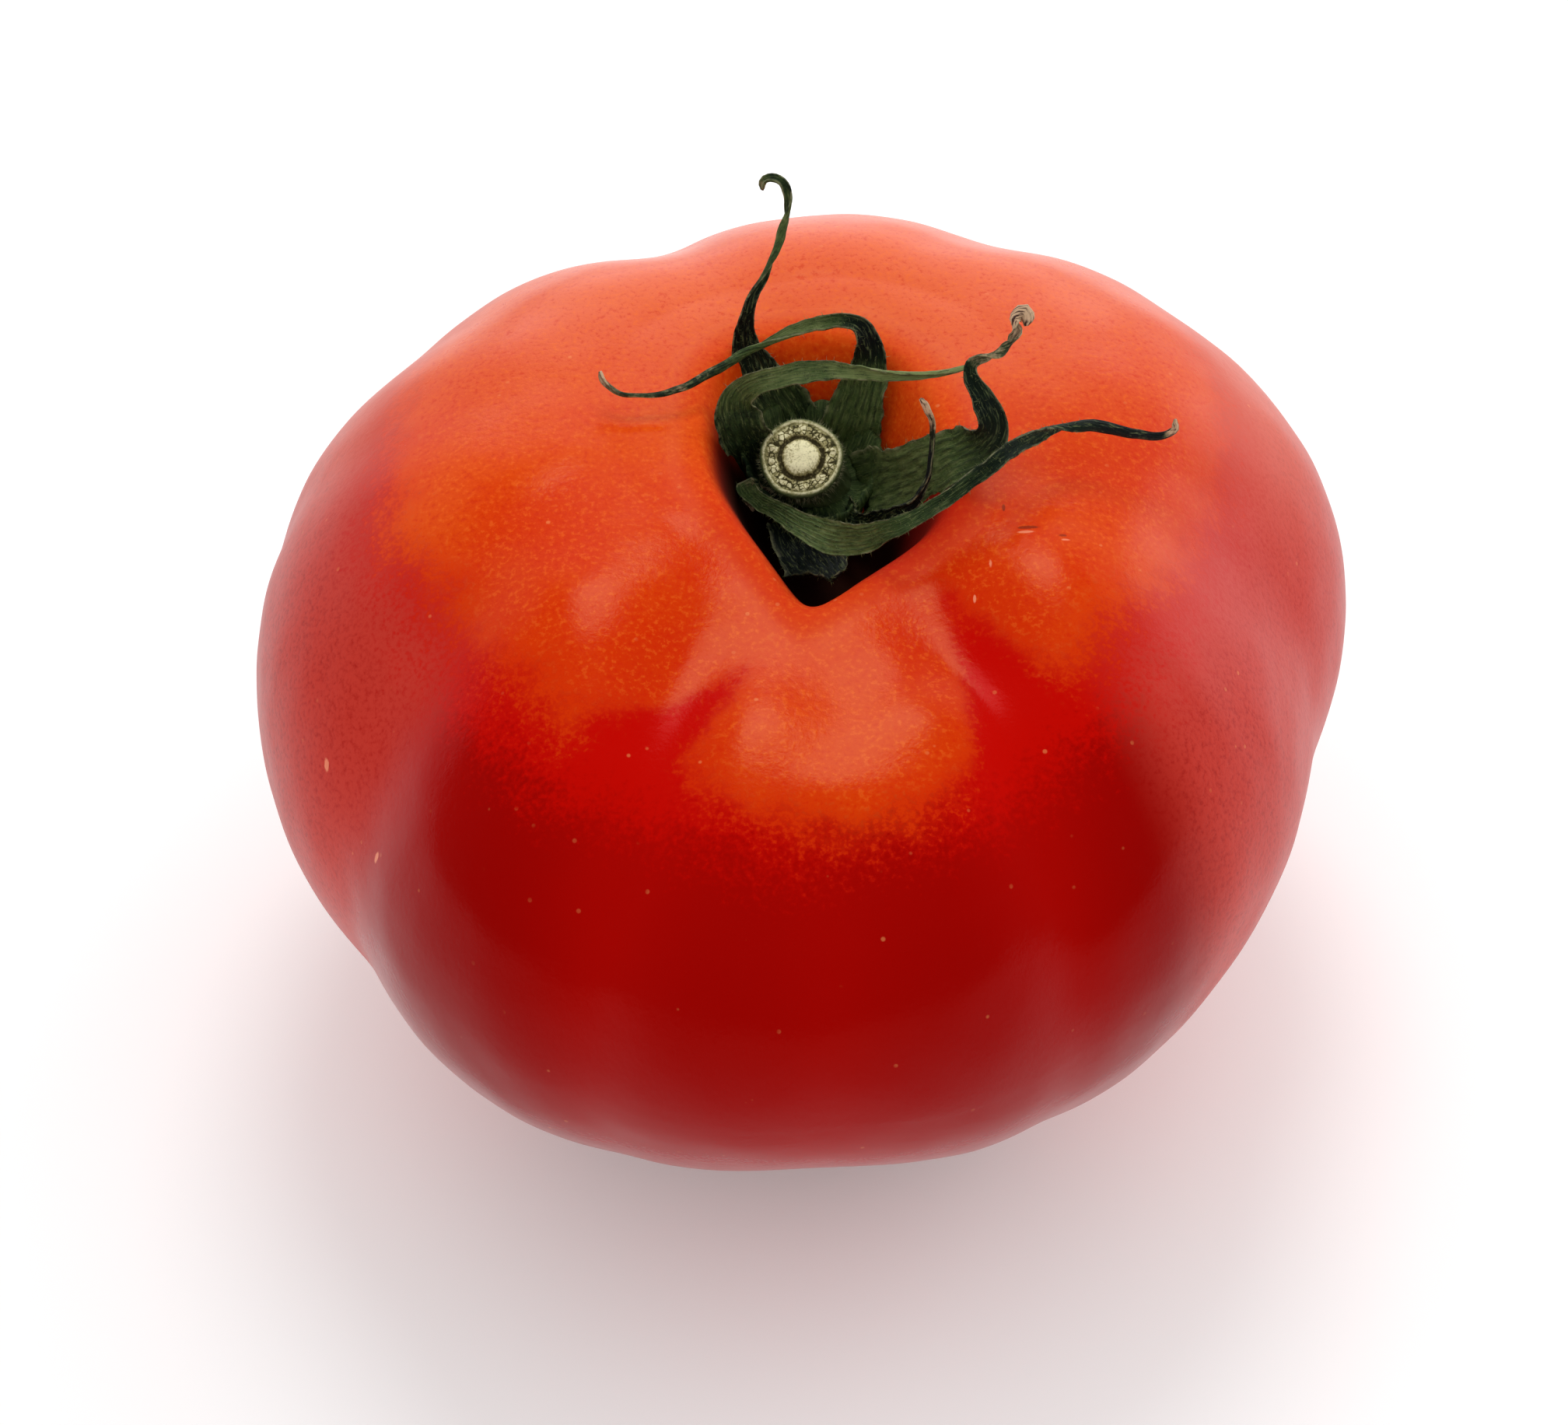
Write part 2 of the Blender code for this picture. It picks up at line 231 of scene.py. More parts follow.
class Shader:
    """A node material with short calls for the nodes that this scene needs."""

    def __init__(self, name):
        self.material = bpy.data.materials.new(name)
        self.material.use_nodes = True
        self.tree = self.material.node_tree
        self.surface = self.tree.nodes["Principled BSDF"]
        self.place = self.add("ShaderNodeTexCoord").outputs["Object"]

    def add(self, kind, **settings):
        node = self.tree.nodes.new(kind)
        for key, value in settings.items():
            setattr(node, key, value)
        return node

    def put(self, socket, value):
        if isinstance(value, bpy.types.NodeSocket):
            self.tree.links.new(value, socket)
        elif isinstance(value, tuple) and len(value) == 3 and socket.type == "RGBA":
            socket.default_value = (*value, 1.0)
        else:
            socket.default_value = value

    def set(self, name, value):
        self.put(self.surface.inputs[name], value)

    def attribute(self, name, output="Fac"):
        return self.add("ShaderNodeAttribute", attribute_name=name).outputs[output]

    def noise(self, size, place=None, detail=3.0, roughness=0.5):
        """Noise from 0 to 1. Features are about size across, in millimetres or in units of place."""
        node = self.add("ShaderNodeTexNoise")
        self.put(node.inputs["Vector"], self.place if place is None else place)
        node.inputs["Scale"].default_value = 1.0 / (size * MM) if place is None else 1.0 / size
        node.inputs["Detail"].default_value = detail
        node.inputs["Roughness"].default_value = roughness
        return node.outputs["Fac"]

    def cells(self, size, place=None, feature="F1"):
        """Distance to the middle, or to the edge, of scattered cells, as a share of their size."""
        node = self.add("ShaderNodeTexVoronoi", feature=feature)
        self.put(node.inputs["Vector"], self.place if place is None else place)
        node.inputs["Scale"].default_value = 1.0 / (size * MM) if place is None else 1.0 / size
        return node.outputs["Distance"]

    def calc(self, operation, first, second=0.0, clamp=False):
        node = self.add("ShaderNodeMath", operation=operation, use_clamp=clamp)
        self.put(node.inputs[0], first)
        self.put(node.inputs[1], second)
        return node.outputs[0]

    def times(self, first, second):
        return self.calc("MULTIPLY", first, second)

    def wander(self, value, noise, reach):
        """value moved up or down by a noise of 0 to 1, over a range of reach."""
        return self.calc("ADD", value, self.times(self.calc("SUBTRACT", noise, 0.5), reach))

    def step(self, value, low, high, top=1.0):
        """A smooth rise of value from 0 at low to top at high."""
        node = self.add("ShaderNodeMapRange", interpolation_type="SMOOTHSTEP")
        self.put(node.inputs["Value"], value)
        node.inputs["From Min"].default_value = low
        node.inputs["From Max"].default_value = high
        node.inputs["To Max"].default_value = top
        return node.outputs["Result"]

    def mix(self, share, first, second):
        node = self.add("ShaderNodeMix", data_type="RGBA")
        self.put(node.inputs["Factor"], share)
        self.put(node.inputs[6], first)
        self.put(node.inputs[7], second)
        return node.outputs[2]

    def scar(self, place, half_lengths, ragged):
        """0 at the middle of a small patch of skin and 1 at its ragged edge."""
        offset = self.add("ShaderNodeVectorMath", operation="SUBTRACT")
        self.put(offset.inputs[0], self.place)
        offset.inputs[1].default_value = tuple(value * MM for value in place)
        shares = self.add("ShaderNodeVectorMath", operation="DIVIDE")
        self.put(shares.inputs[0], offset.outputs["Vector"])
        shares.inputs[1].default_value = tuple(value * MM for value in half_lengths)
        length = self.add("ShaderNodeVectorMath", operation="LENGTH")
        self.put(length.inputs[0], shares.outputs["Vector"])
        return self.wander(length.outputs["Value"], ragged, SCAR_RAGGEDNESS)

    def bump(self, height, depth, normal=None):
        """Bump from a height of 0 to 1 that stands for depth millimetres."""
        node = self.add("ShaderNodeBump")
        node.inputs["Distance"].default_value = depth * MM
        self.put(node.inputs["Height"], height)
        if normal is not None:
            self.put(node.inputs["Normal"], normal)
        return node.outputs["Normal"]


# ---------------------------------------------------------------- skin

# Colours are linear.
ORANGE_SKIN = (0.77, 0.082, 0.0003)
REDDER_ORANGE_SKIN = (0.73, 0.052, 0.0003)
RED_SKIN = (0.52, 0.002, 0.0002)
# Partly painted shade: the front and underside are painted a darker red than lit skin.
DEEP_RED_SHADED_SKIN = (0.168, 0.0001, 0.0001)
SIDE_SHEEN_SKIN = (0.56, 0.040, 0.025)
GLINT_SPECK = (0.84, 0.15, 0.012)
BACK_SHEEN_SKIN = (0.80, 0.17, 0.075)
RED_SPECK = (0.58, 0.012, 0.0003)
PALE_DOT = (0.85, 0.30, 0.10)
# Painted shade in the stem's pit: near black deep inside it, dark red on its wall.
PIT_SHADE_DARK = (0.020, 0.0004, 0.0003)
PIT_SHADE_RED = (0.17, 0.0004, 0.0003)
SCAR_SKIN = (0.16, 0.012, 0.004)
SCAR_PALE_AND_GLINT = (0.90, 0.30, 0.16)
# Tint of the skin's reflections: warm on the orange, and red where the skin is deepest.
ORANGE_GLOSS = (1.0, 0.68, 0.34)
RED_GLOSS = (0.9, 0.12, 0.10)
# Orange shoulders: how far down from the stem the skin is still orange, in degrees of polar angle,
# and what each lobe and crease adds to that: azimuth at polar 28, spread, change, and how far the
# crease leans for each degree of polar angle. The split is partly the skin's own colour and partly
# painted light: lit tops painted orange, creases and the shaded front painted red.
ORANGE_REACH = 38.0
LEAN_POLAR = 28.0
LEAN_LIMITS = (-15.0, 8.0)
ORANGE_PATCHES = (
    (277.0, 13.0, 5.0, 0.0),
    (254.5, 5.5, -15.0, -1.0),
    (300.0, 6.5, -17.0, 0.0),
    (232.0, 12.0, -1.0, 0.0),
    (205.0, 16.0, -1.0, 0.0),
    (325.0, 15.0, -4.0, 0.0),
    (90.0, 70.0, 6.0, 0.0),
)
DEEPEST_RED_LIMIT = 14.0  # degrees past the shoulders where the skin is at its deepest red, partly painted shade
# The front is glossy red. Past it, all round the fruit, the skin is duller and carries a painted pink
# sheen, the reflection of the bright room: azimuth of the front's middle, and how far from it the sheen
# starts and is full.
FRONT_AZIMUTH = 265.5
SHEEN_START, SHEEN_FULL = 42.5, 55.5
DOT_PITCH = 2.3  # mm between the pale dots of the skin
SCAR_RAGGEDNESS = 2.5
SCAR_DEPTH = 0.6
# Small dry scars: place, half lengths along x and y, and whether it is pale. A pale row beside a dark
# scar is a painted highlight on its raised lip; the other pale rows are pale scratches.
SCARS = (
    (17.1, -9.3, 60.9, 0.75, 0.16, False),
    (17.0, -9.8, 60.9, 0.60, 0.14, True),
    (19.9, -10.2, 60.6, 0.40, 0.22, False),
    (20.1, -10.7, 60.5, 0.50, 0.14, True),
    (15.4, -7.0, 61.1, 0.14, 0.45, False),
    (21.6, -12.8, 59.4, 0.25, 0.14, True),
    (14.2, -12.6, 59.8, 0.14, 0.40, True),
    (12.9, -15.4, 58.9, 0.12, 0.35, True),
    (-34.4, -27.9, 42.6, 0.25, 0.25, True),
    (-38.9, -19.9, 44.8, 0.20, 0.90, True),
    (-39.6, -17.2, 43.6, 0.20, 0.70, True),
)


def orange_reach(polar, azimuth):
    reach = np.full_like(azimuth, ORANGE_REACH)
    for centre, spread, change, lean in ORANGE_PATCHES:
        place = centre + lean * np.clip(polar - LEAN_POLAR, *LEAN_LIMITS)
        reach += change * bump(turn_from(azimuth, place), 0.0, spread)
    return reach


def skin_material():
    shader = Shader("tomato_skin")
    blotch = shader.noise(11.0, detail=4.0)
    mottle = shader.noise(2.4, detail=4.0, roughness=0.6)
    grain = shader.noise(0.45, detail=3.0, roughness=0.6)
    fine = shader.noise(0.16, detail=2.0)
    past, deep = (shader.attribute(name) for name in ("past_orange", "past_shoulder"))
    for texture, reach in ((blotch, 10.0), (mottle, 9.0), (grain, 20.0)):
        past = shader.wander(past, texture, reach)
        deep = shader.wander(deep, texture, reach)
    colour = shader.mix(shader.step(blotch, 0.35, 0.65), ORANGE_SKIN, REDDER_ORANGE_SKIN)
    # Orange above and deep red below is partly painted light: lit shoulders, and painted shade on the
    # front and underside.
    colour = shader.mix(shader.step(past, -4.0, 4.5), colour, RED_SKIN)
    colour = shader.mix(shader.step(deep, 2.0, DEEPEST_RED_LIMIT), colour, DEEP_RED_SHADED_SKIN)
    # Painted shade: the furrows are painted redder.
    colour = shader.mix(shader.times(shader.attribute("furrow_shade"), 0.6), colour, RED_SKIN)
    # Painted reflection: a pink sheen on the sides, where the skin is also rougher.
    side_sheen = shader.times(shader.attribute("side_sheen"), shader.step(past, -4.0, 10.0, 0.85))
    colour = shader.mix(shader.times(side_sheen, shader.step(grain, 0.05, 0.60)), colour, SIDE_SHEEN_SKIN)
    # Painted reflection: a salmon sheen over the back of the fruit.
    colour = shader.mix(shader.times(shader.attribute("back_sheen"), 0.48), colour, BACK_SHEEN_SKIN)
    orange_part = shader.step(past, 7.0, -3.0)
    # Painted glints: pale specks of the fine grain on the orange parts.
    glint = shader.times(shader.step(grain, 0.50, 0.72), orange_part)
    colour = shader.mix(shader.times(glint, 0.40), colour, GLINT_SPECK)
    shade = shader.times(shader.step(grain, 0.48, 0.28), orange_part)
    colour = shader.mix(shader.times(shade, 0.50), colour, RED_SPECK)
    dots = shader.step(shader.cells(DOT_PITCH), 0.10, 0.05)
    dots = shader.times(dots, shader.step(shader.noise(4.0), 0.45, 0.65))
    colour = shader.mix(shader.times(dots, 0.35), colour, PALE_DOT)
    # Painted shade in and beside the pit.
    for name, paint in (("pit_edge_shade", RED_SKIN), ("pit_red_shade", PIT_SHADE_RED), ("pit_dark_shade", PIT_SHADE_DARK)):
        colour = shader.mix(shader.attribute(name), colour, paint)
    # Dark scars, pale scratches, and painted highlights on the scars' lips.
    for x, y, z, along_x, along_y, pale in SCARS:
        scar = shader.scar((x, y, z), (along_x, along_y, SCAR_DEPTH), mottle)
        colour = shader.mix(shader.step(scar, 1.2, 0.7, 0.7), colour, SCAR_PALE_AND_GLINT if pale else SCAR_SKIN)
    shader.set("Base Color", colour)
    rough = shader.calc("ADD", shader.times(mottle, 0.08), 0.15)
    rough = shader.calc("ADD", rough, shader.times(shader.attribute("side_sheen"), 0.15))
    rough = shader.calc("ADD", rough, shader.times(shader.attribute("hollow"), 0.60))
    shader.set("Roughness", rough)
    shader.set("IOR", 1.45)
    shader.set("Specular IOR Level", 0.22)
    shader.set("Specular Tint", shader.mix(shader.step(past, -2.0, 8.0), ORANGE_GLOSS, RED_GLOSS))
    normal = shader.bump(fine, 0.006)
    normal = shader.bump(grain, 0.016, normal)
    shader.set("Normal", shader.bump(mottle, 0.035, normal))
    return shader.material


# Rounder tops of the lobes: x, y, height and spread.
HILLS = (
    (-21.0, -16.5, 0.55, 6.5),
    (20.5, -13.5, 0.6, 6.0),
    (11.0, -26.5, 0.7, 4.5),
    (-5.0, -27.5, 0.5, 5.0),
    (1.5, -34.5, 0.25, 3.0),
)
FRUIT_MIDDLE = (0.0, 0.0, 34.0)
PIT_FRONT_AZIMUTH = 262.0  # the side of the pit that the camera looks into, where the pit's painted shade lies
RIGHT_WALL_AZIMUTH = 272.0  # right of it the pit's wall is lit and gets less painted shade, and its edge is painted with red shade


def make_skin():
    """The fruit's skin as one closed mesh: rings of points from the stem to the blossom end."""
    ring_polars = 180.0 * (np.arange(1, SKIN_RINGS) / SKIN_RINGS) ** SKIN_CROWDING
    azimuths = 360.0 * np.arange(SKIN_STEPS) / SKIN_STEPS
    polar, azimuth = (grid.ravel() for grid in np.meshgrid(ring_polars, azimuths, indexing="ij"))
    polar = np.concatenate([polar, [0.0, 180.0]])
    azimuth = np.concatenate([azimuth, [0.0, 0.0]])
    points = fruit_point(polar, azimuth)
    outward = points - np.array(FRUIT_MIDDLE)
    outward /= np.linalg.norm(outward, axis=1, keepdims=True)
    swell = [noise.noise(Vector(p) / 11.0) + 0.4 * noise.noise(Vector(p) / 4.5) for p in points]
    above_floor = between(points[:, 2], 0.3, 6.0)
    points = points + outward * (0.22 * np.array(swell) * above_floor)[:, None]
    for x, y, height, spread in HILLS:
        away = np.hypot(points[:, 0] - x, points[:, 1] - y)
        points[:, 2] += height * bump(away, 0.0, spread) * (polar < 80.0)
    from_stem = np.hypot(points[:, 0], points[:, 1] - STEM_SET_BACK)
    inside = pit_inside(from_stem, azimuth)
    facing = np.cos(np.radians(azimuth - PIT_FRONT_AZIMUTH))
    in_front = between(facing, -0.1, 0.6) * (polar < 60.0)
    to_right = turn_from(azimuth, RIGHT_WALL_AZIMUTH)
    right_wall = between(to_right, 0.0, 22.0)
    right_edge = right_wall * between(to_right, 75.0, 45.0)
    # Painted shade in the pit: dark deep inside it, red on its wall and just past its right edge.
    pit_edge_shade = between(inside, -0.45, 0.15) * in_front * right_edge
    pit_red_shade = between(inside, 0.02, 0.30) * in_front
    pit_dark_shade = between(inside, 0.10 + 0.30 * right_wall, 0.45 + 0.35 * right_wall) * in_front
    faces = []
    top, bottom = len(points) - 2, len(points) - 1
    last = (SKIN_RINGS - 2) * SKIN_STEPS
    for step in range(SKIN_STEPS):
        after = (step + 1) % SKIN_STEPS
        faces.append((top, step, after))
        for start in range(0, last, SKIN_STEPS):
            below = start + SKIN_STEPS
            faces.append((start + step, below + step, below + after, start + after))
        faces.append((last + step, bottom, last + after))
    skin = new_object("tomato_skin", points, faces, skin_material())
    add_values(skin, "past_orange", polar - orange_reach(polar, azimuth))
    add_values(skin, "past_shoulder", polar - ORANGE_REACH)
    add_values(skin, "hollow", between(inside, -0.55, -0.05) * (polar < 60.0))
    # Painted shade in the furrows, deeper where the furrow is deeper.
    add_values(skin, "furrow_shade", np.clip(furrow_depth(polar, azimuth) / 4.0, 0.0, 1.0))
    # Where the painted back sheen lies: the back, away from the stem, above the underside.
    back_sheen = between(np.sin(np.radians(azimuth)), -0.15, 0.6) * between(from_stem, 8.0, 14.0)
    add_values(skin, "back_sheen", back_sheen * between(polar, 80.0, 48.0))
    # Where the painted side sheen lies, away from the front.
    side_sheen = between(abs(turn_from(azimuth, FRONT_AZIMUTH)), SHEEN_START, SHEEN_FULL)
    add_values(skin, "side_sheen", side_sheen * between(polar, 22.0, 50.0))
    add_values(skin, "pit_edge_shade", pit_edge_shade * 0.8)
    add_values(skin, "pit_red_shade", pit_red_shade)
    add_values(skin, "pit_dark_shade", pit_dark_shade)
    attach(skin, "root")
    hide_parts("fruit")
    return skin


# ---------------------------------------------------------------- stem

STEM_FOOT = Vector((0.0, STEM_SET_BACK, 53.0))
STEM_FACE = Vector((-0.8, 3.3, 57.8))
STEM_RADIUS = 3.45
STEM_WAIST = 0.4
CUT_SLOPE = 31.0
BUNDLES = 25
STEM_STEPS = 200
STEM_RINGS = 26
STEM_HAIRS = 420

FACE_DARK = (0.050, 0.038, 0.008)
FACE_DULL = (0.42, 0.37, 0.15)
FACE_CREAM = (0.96, 0.90, 0.56)
STEM_DARK_GREEN = (0.035, 0.060, 0.018)
STEM_GREEN = (0.13, 0.17, 0.055)
STEM_PALE_GREEN = (0.26, 0.28, 0.12)

# Cut face, from its middle out: share of the radius, height in mm, tone (0 dark, 1 cream), green.
FACE_PROFILE = (
    (0.00, 0.50, 1.00, 0.0),
    (0.15, 0.48, 0.97, 0.0),
    (0.30, 0.38, 0.90, 0.0),
    (0.40, 0.22, 0.80, 0.0),
    (0.455, 0.02, 0.40, 0.0),
    (0.49, -0.18, 0.05, 0.0),
    (0.54, -0.20, 0.02, 0.0),
    (0.585, -0.04, 0.45, 0.0),
    (0.63, 0.03, 0.85, 0.1),
    (0.78, 0.05, 0.85, 0.1),
    (0.83, -0.02, 0.50, 0.2),
    (0.86, -0.05, 0.35, 0.3),
    (0.89, 0.02, 0.85, 0.2),
    (0.93, 0.02, 0.80, 0.4),
    (0.965, -0.03, 0.45, 0.8),
    (0.99, -0.14, 0.20, 1.0),
    (1.00, -0.32, 0.10, 1.0),
)


def stem_material():
    shader = Shader("stem_green")
    fine = shader.noise(0.18, detail=4.0, roughness=0.7)
    patch = shader.noise(0.9, detail=3.0)
    around = shader.attribute("streak", "Vector")
    streak = shader.noise(1.0, around, detail=4.0, roughness=0.7)
    tone = shader.wander(shader.wander(shader.attribute("tone"), fine, 1.5), streak, 1.3)
    gap = shader.step(shader.cells(0.8, around, "DISTANCE_TO_EDGE"), 0.14, 0.03)
    gap = shader.times(shader.times(gap, shader.attribute("bundle")), 0.75)
    tone = shader.calc("SUBTRACT", tone, gap, clamp=True)
    face = shader.mix(shader.step(tone, 0.0, 0.62), FACE_DARK, FACE_DULL)
    face = shader.mix(shader.step(tone, 0.5, 1.0), face, FACE_CREAM)
    green = shader.mix(patch, STEM_DARK_GREEN, STEM_GREEN)
    green = shader.mix(shader.step(fine, 0.55, 0.8, 0.5), green, STEM_PALE_GREEN)
    shader.set("Base Color", shader.mix(shader.attribute("green"), face, green))
    shader.set("Roughness", 0.72)
    shader.set("Specular IOR Level", 0.3)
    shader.set("Normal", shader.bump(fine, 0.10))
    return shader.material


def on_cut(flat, normal):
    """Turns a vector in the level plane into the plane square to normal."""
    across = normal.cross(Vector((0.0, 1.0, 0.0))).normalized() * -1.0
    along = across.cross(normal) * -1.0
    return across * flat.x + along * flat.y


def make_stem():
    slope = math.radians(CUT_SLOPE)
    cut_normal = Vector((0.0, -math.sin(slope), math.cos(slope)))
    turns = 2.0 * math.pi * np.arange(STEM_STEPS) / STEM_STEPS
    points, tones, greens, streaks, in_ring = [], [], [], [], []
    shares, heights, tone_row, green_row = (np.array(column) for column in zip(*FACE_PROFILE))
    for share in np.concatenate([np.linspace(0.02, 0.44, 10), np.linspace(0.455, 1.0, 42)]):
        height = np.interp(share, shares, heights)
        tone = np.interp(share, shares, tone_row)
        green = np.interp(share, shares, green_row)
        for index, turn in enumerate(turns):
            unround = 1.0 + 0.015 * math.sin(3.0 * turn + 1.0) + 0.012 * math.sin(5.0 * turn)
            across = STEM_RADIUS * share * unround
            flat = ray(turn) * across
            rough = noise.noise(flat * 1.7 + Vector((0, 0, 3.0)))
            wobble = noise.noise(ray(turn) * 3.2)
            bundle = BUNDLES * turn + wobble * 4.5
            block = math.cos(bundle)
            number = math.floor(bundle / (2.0 * math.pi) + 0.5)
            dull = 0.30 * math.sin(number * 2.4)
            ends = 0.030 * math.sin(number * 4.1)
            past_end = between(share, 0.80 + ends, 0.85 + ends)
            in_bundles = between(share, 0.575 + ends, 0.63 + ends) * (1.0 - past_end)
            gap = between(-block, 0.10 + 2.0 * ends, 0.60) * in_bundles
            crescent = 0.5 + 0.5 * math.cos(turn + 1.3)
            wander = 0.035 * noise.noise(ray(turn, 5.0) * 2.2)
            groove = bump(share, 0.50 + 0.03 * crescent + wander, 0.04) * (0.5 + 0.7 * crescent)
            lift = height + 0.05 * rough - 0.12 * gap - 0.08 * groove
            points.append(STEM_FACE + on_cut(flat, cut_normal) + cut_normal * lift)
            shade = 0.15 * gap + 0.7 * groove
            tones.append(max(0.0, tone - shade + 0.2 * rough + dull * in_bundles))
            greens.append(green)
            in_ring.append(in_bundles)
            streaks.append((math.cos(turn) * 4.5, math.sin(turn) * 4.5, share * 6.0))
    for ring in range(1, STEM_RINGS):
        share = 1.0 - ring / (STEM_RINGS - 1.0)
        centre = STEM_FOOT.lerp(STEM_FACE - cut_normal * 0.45, share)
        normal = Vector((0.0, 0.0, 1.0)).lerp(cut_normal, share).normalized()
        radius = STEM_RADIUS - STEM_WAIST * math.sin(math.pi * share)
        for turn in turns:
            ribs = 0.05 * math.sin(14.0 * turn + 2.0 * share) + 0.03 * math.sin(31.0 * turn)
            ribs += 0.10 * noise.noise(ray(turn) * 3.0 + Vector((0, 0, share * 4.0)))
            points.append(centre + on_cut(ray(turn) * (radius + ribs), normal))
            tones.append(0.1)
            greens.append(1.0)
            in_ring.append(0.0)
            streaks.append((math.cos(turn) * 6.0, math.sin(turn) * 6.0, share))
    faces = tube_faces(len(points) // STEM_STEPS, STEM_STEPS)
    faces = [face[::-1] for face in faces]
    solid_count = len(points)
    for _ in range(STEM_HAIRS):
        turn = rng.uniform(0.0, 2.0 * math.pi)
        down = abs(rng.normal(0.0, 1.1))
        outward = on_cut(ray(turn), cut_normal)
        root = STEM_FACE + outward * STEM_RADIUS * 0.97 - cut_normal * (0.25 + down)
        direction = (outward + Vector(rng.normal(0.0, 0.4, 3))).normalized()
        add_hair(points, faces, root, direction, float(rng.uniform(0.25, 0.65)))
    hair_count = len(points) - solid_count
    stem = new_object("stem", [tuple(p) for p in points], faces, stem_material())
    add_values(stem, "tone", tones + [0.9] * hair_count)
    add_values(stem, "green", greens + [0.5] * hair_count)
    add_values(stem, "bundle", in_ring + [0.0] * hair_count)
    add_vectors(stem, "streak", streaks + [(0.0, 0.0, 9.0)] * hair_count)
    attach(stem, "root")
    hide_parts("stem_stub")
    return stem


# ---------------------------------------------------------------- calyx

SEPAL_FACING = Vector((0.0, -0.7, 0.7))
COURSE_STEPS = 40
RING_PITCH = 0.28
ACROSS = 25
TAIL_WIDTH = 1.7  # a blade twists from where it gets narrower than this, past its first quarter
BLADE_THICKNESS = 0.26
VEINS = 7
HAIRS_PER_MM = 28
HUB_STEPS = 120

# Course of each sepal from the disc to its tip: x, y, z and width.
SEPALS = {
    "sepal_back_left": (
        (-1.6, 10.5, 52.6, 2.8),
        (-2.6, 10.7, 55.8, 4.8),
        (-4.1, 11.7, 58.8, 4.6),
        (-5.3, 12.8, 62.0, 3.0),
        (-5.2, 13.2, 65.6, 1.6),
        (-4.0, 14.2, 68.2, 1.2),
        (-2.8, 15.2, 70.5, 1.0),
        (-1.9, 16.3, 72.5, 1.0),
        (-1.8, 17.0, 74.0, 1.0),
        (-2.4, 17.5, 75.2, 1.0),
        (-3.6, 17.8, 75.2, 1.0),
        (-4.0, 17.6, 74.4, 0.9),
    ),
    "sepal_back": (
        (2.3, 10.0, 52.3, 3.0),
        (3.3, 9.7, 55.4, 4.4),
        (4.1, 10.2, 58.2, 4.2),
        (4.7, 10.8, 61.0, 3.4),
        (4.6, 11.4, 63.7, 2.2),
        (3.3, 12.0, 65.0, 1.5),
        (0.1, 11.6, 65.0, 1.5),
        (-4.0, 9.4, 64.5, 1.3),
        (-7.8, 7.0, 64.0, 1.1),
        (-11.5, 4.7, 63.6, 1.0),
        (-14.9, 4.2, 63.7, 0.9),
        (-16.6, 5.0, 64.1, 0.9),
        (-17.2, 5.8, 64.8, 0.9),
    ),
    "sepal_left": (
        (-4.3, 6.6, 53.9, 1.8),
        (-4.9, 5.4, 57.3, 3.3),
        (-5.6, 4.2, 59.9, 4.2),
        (-6.1, 4.3, 62.1, 3.6),
        (-5.6, 4.4, 63.8, 2.6),
        (-3.4, 3.9, 65.5, 2.2),
        (0.6, 3.6, 66.5, 2.2),
        (3.5, 3.2, 66.8, 1.4),
        (8.9, 3.0, 66.8, 1.0),
        (13.0, 4.3, 66.6, 0.8),
    ),
    "sepal_right": (
        (4.4, 4.9, 52.4, 3.0),
        (5.8, 2.2, 55.4, 4.4),
        (8.2, 0.2, 58.4, 4.6),
        (11.1, -2.2, 62.0, 4.6),
        (13.5, -3.6, 64.6, 4.2),
        (14.4, -3.6, 66.6, 3.2),
        (13.7, -2.7, 68.5, 2.6),
        (12.7, -1.4, 70.0, 1.8),
        (13.0, -0.6, 70.9, 1.4),
        (15.3, 0.1, 71.6, 1.2),
        (16.2, 0.9, 72.4, 1.1),
        (16.0, 1.8, 73.4, 1.2),
        (16.9, 2.1, 73.7, 1.2),
        (17.1, 1.4, 72.9, 1.1),
    ),
    "sepal_front_right": (
        (-4.2, 3.6, 52.9, 2.4),
        (-5.2, 2.0, 55.5, 2.6),
        (-4.4, -0.6, 56.6, 2.8),
        (-2.0, -3.6, 57.3, 2.8),
        (0.6, -6.6, 58.0, 2.8),
        (3.4, -9.4, 59.9, 2.8),
        (6.9, -11.4, 62.9, 2.6),
        (10.2, -10.3, 64.4, 2.5),
        (13.2, -8.4, 65.7, 2.0),
        (15.5, -6.5, 66.4, 1.5),
        (19.4, -2.5, 65.7, 1.3),
        (22.0, -1.8, 65.5, 1.2),
        (24.1, -1.8, 65.0, 1.1),
        (26.1, -1.9, 64.4, 1.0),
        (28.1, -1.7, 64.0, 0.9),
        (29.3, -1.4, 64.5, 0.9),
        (29.2, -1.0, 65.3, 0.9),
    ),
    "sepal_front": (
        (-1.2, 1.6, 52.0, 3.0),
        (-0.7, -0.9, 52.6, 4.2),
        (0.5, -4.2, 53.5, 5.0),
        (1.3, -7.2, 54.6, 3.6),
        (1.7, -9.9, 56.0, 1.4),
    ),
    "sepal_small": (
        (2.6, 2.2, 52.4, 2.2),
        (4.2, -1.0, 54.2, 2.0),
        (6.8, -4.6, 58.4, 1.5),
        (8.5, -6.0, 61.5, 1.2),
        (9.3, -5.8, 63.6, 1.0),
        (9.5, -5.0, 65.6, 1.0),
        (9.5, -4.9, 68.0, 1.0),
        (8.7, -4.6, 70.3, 1.0),
    ),
}
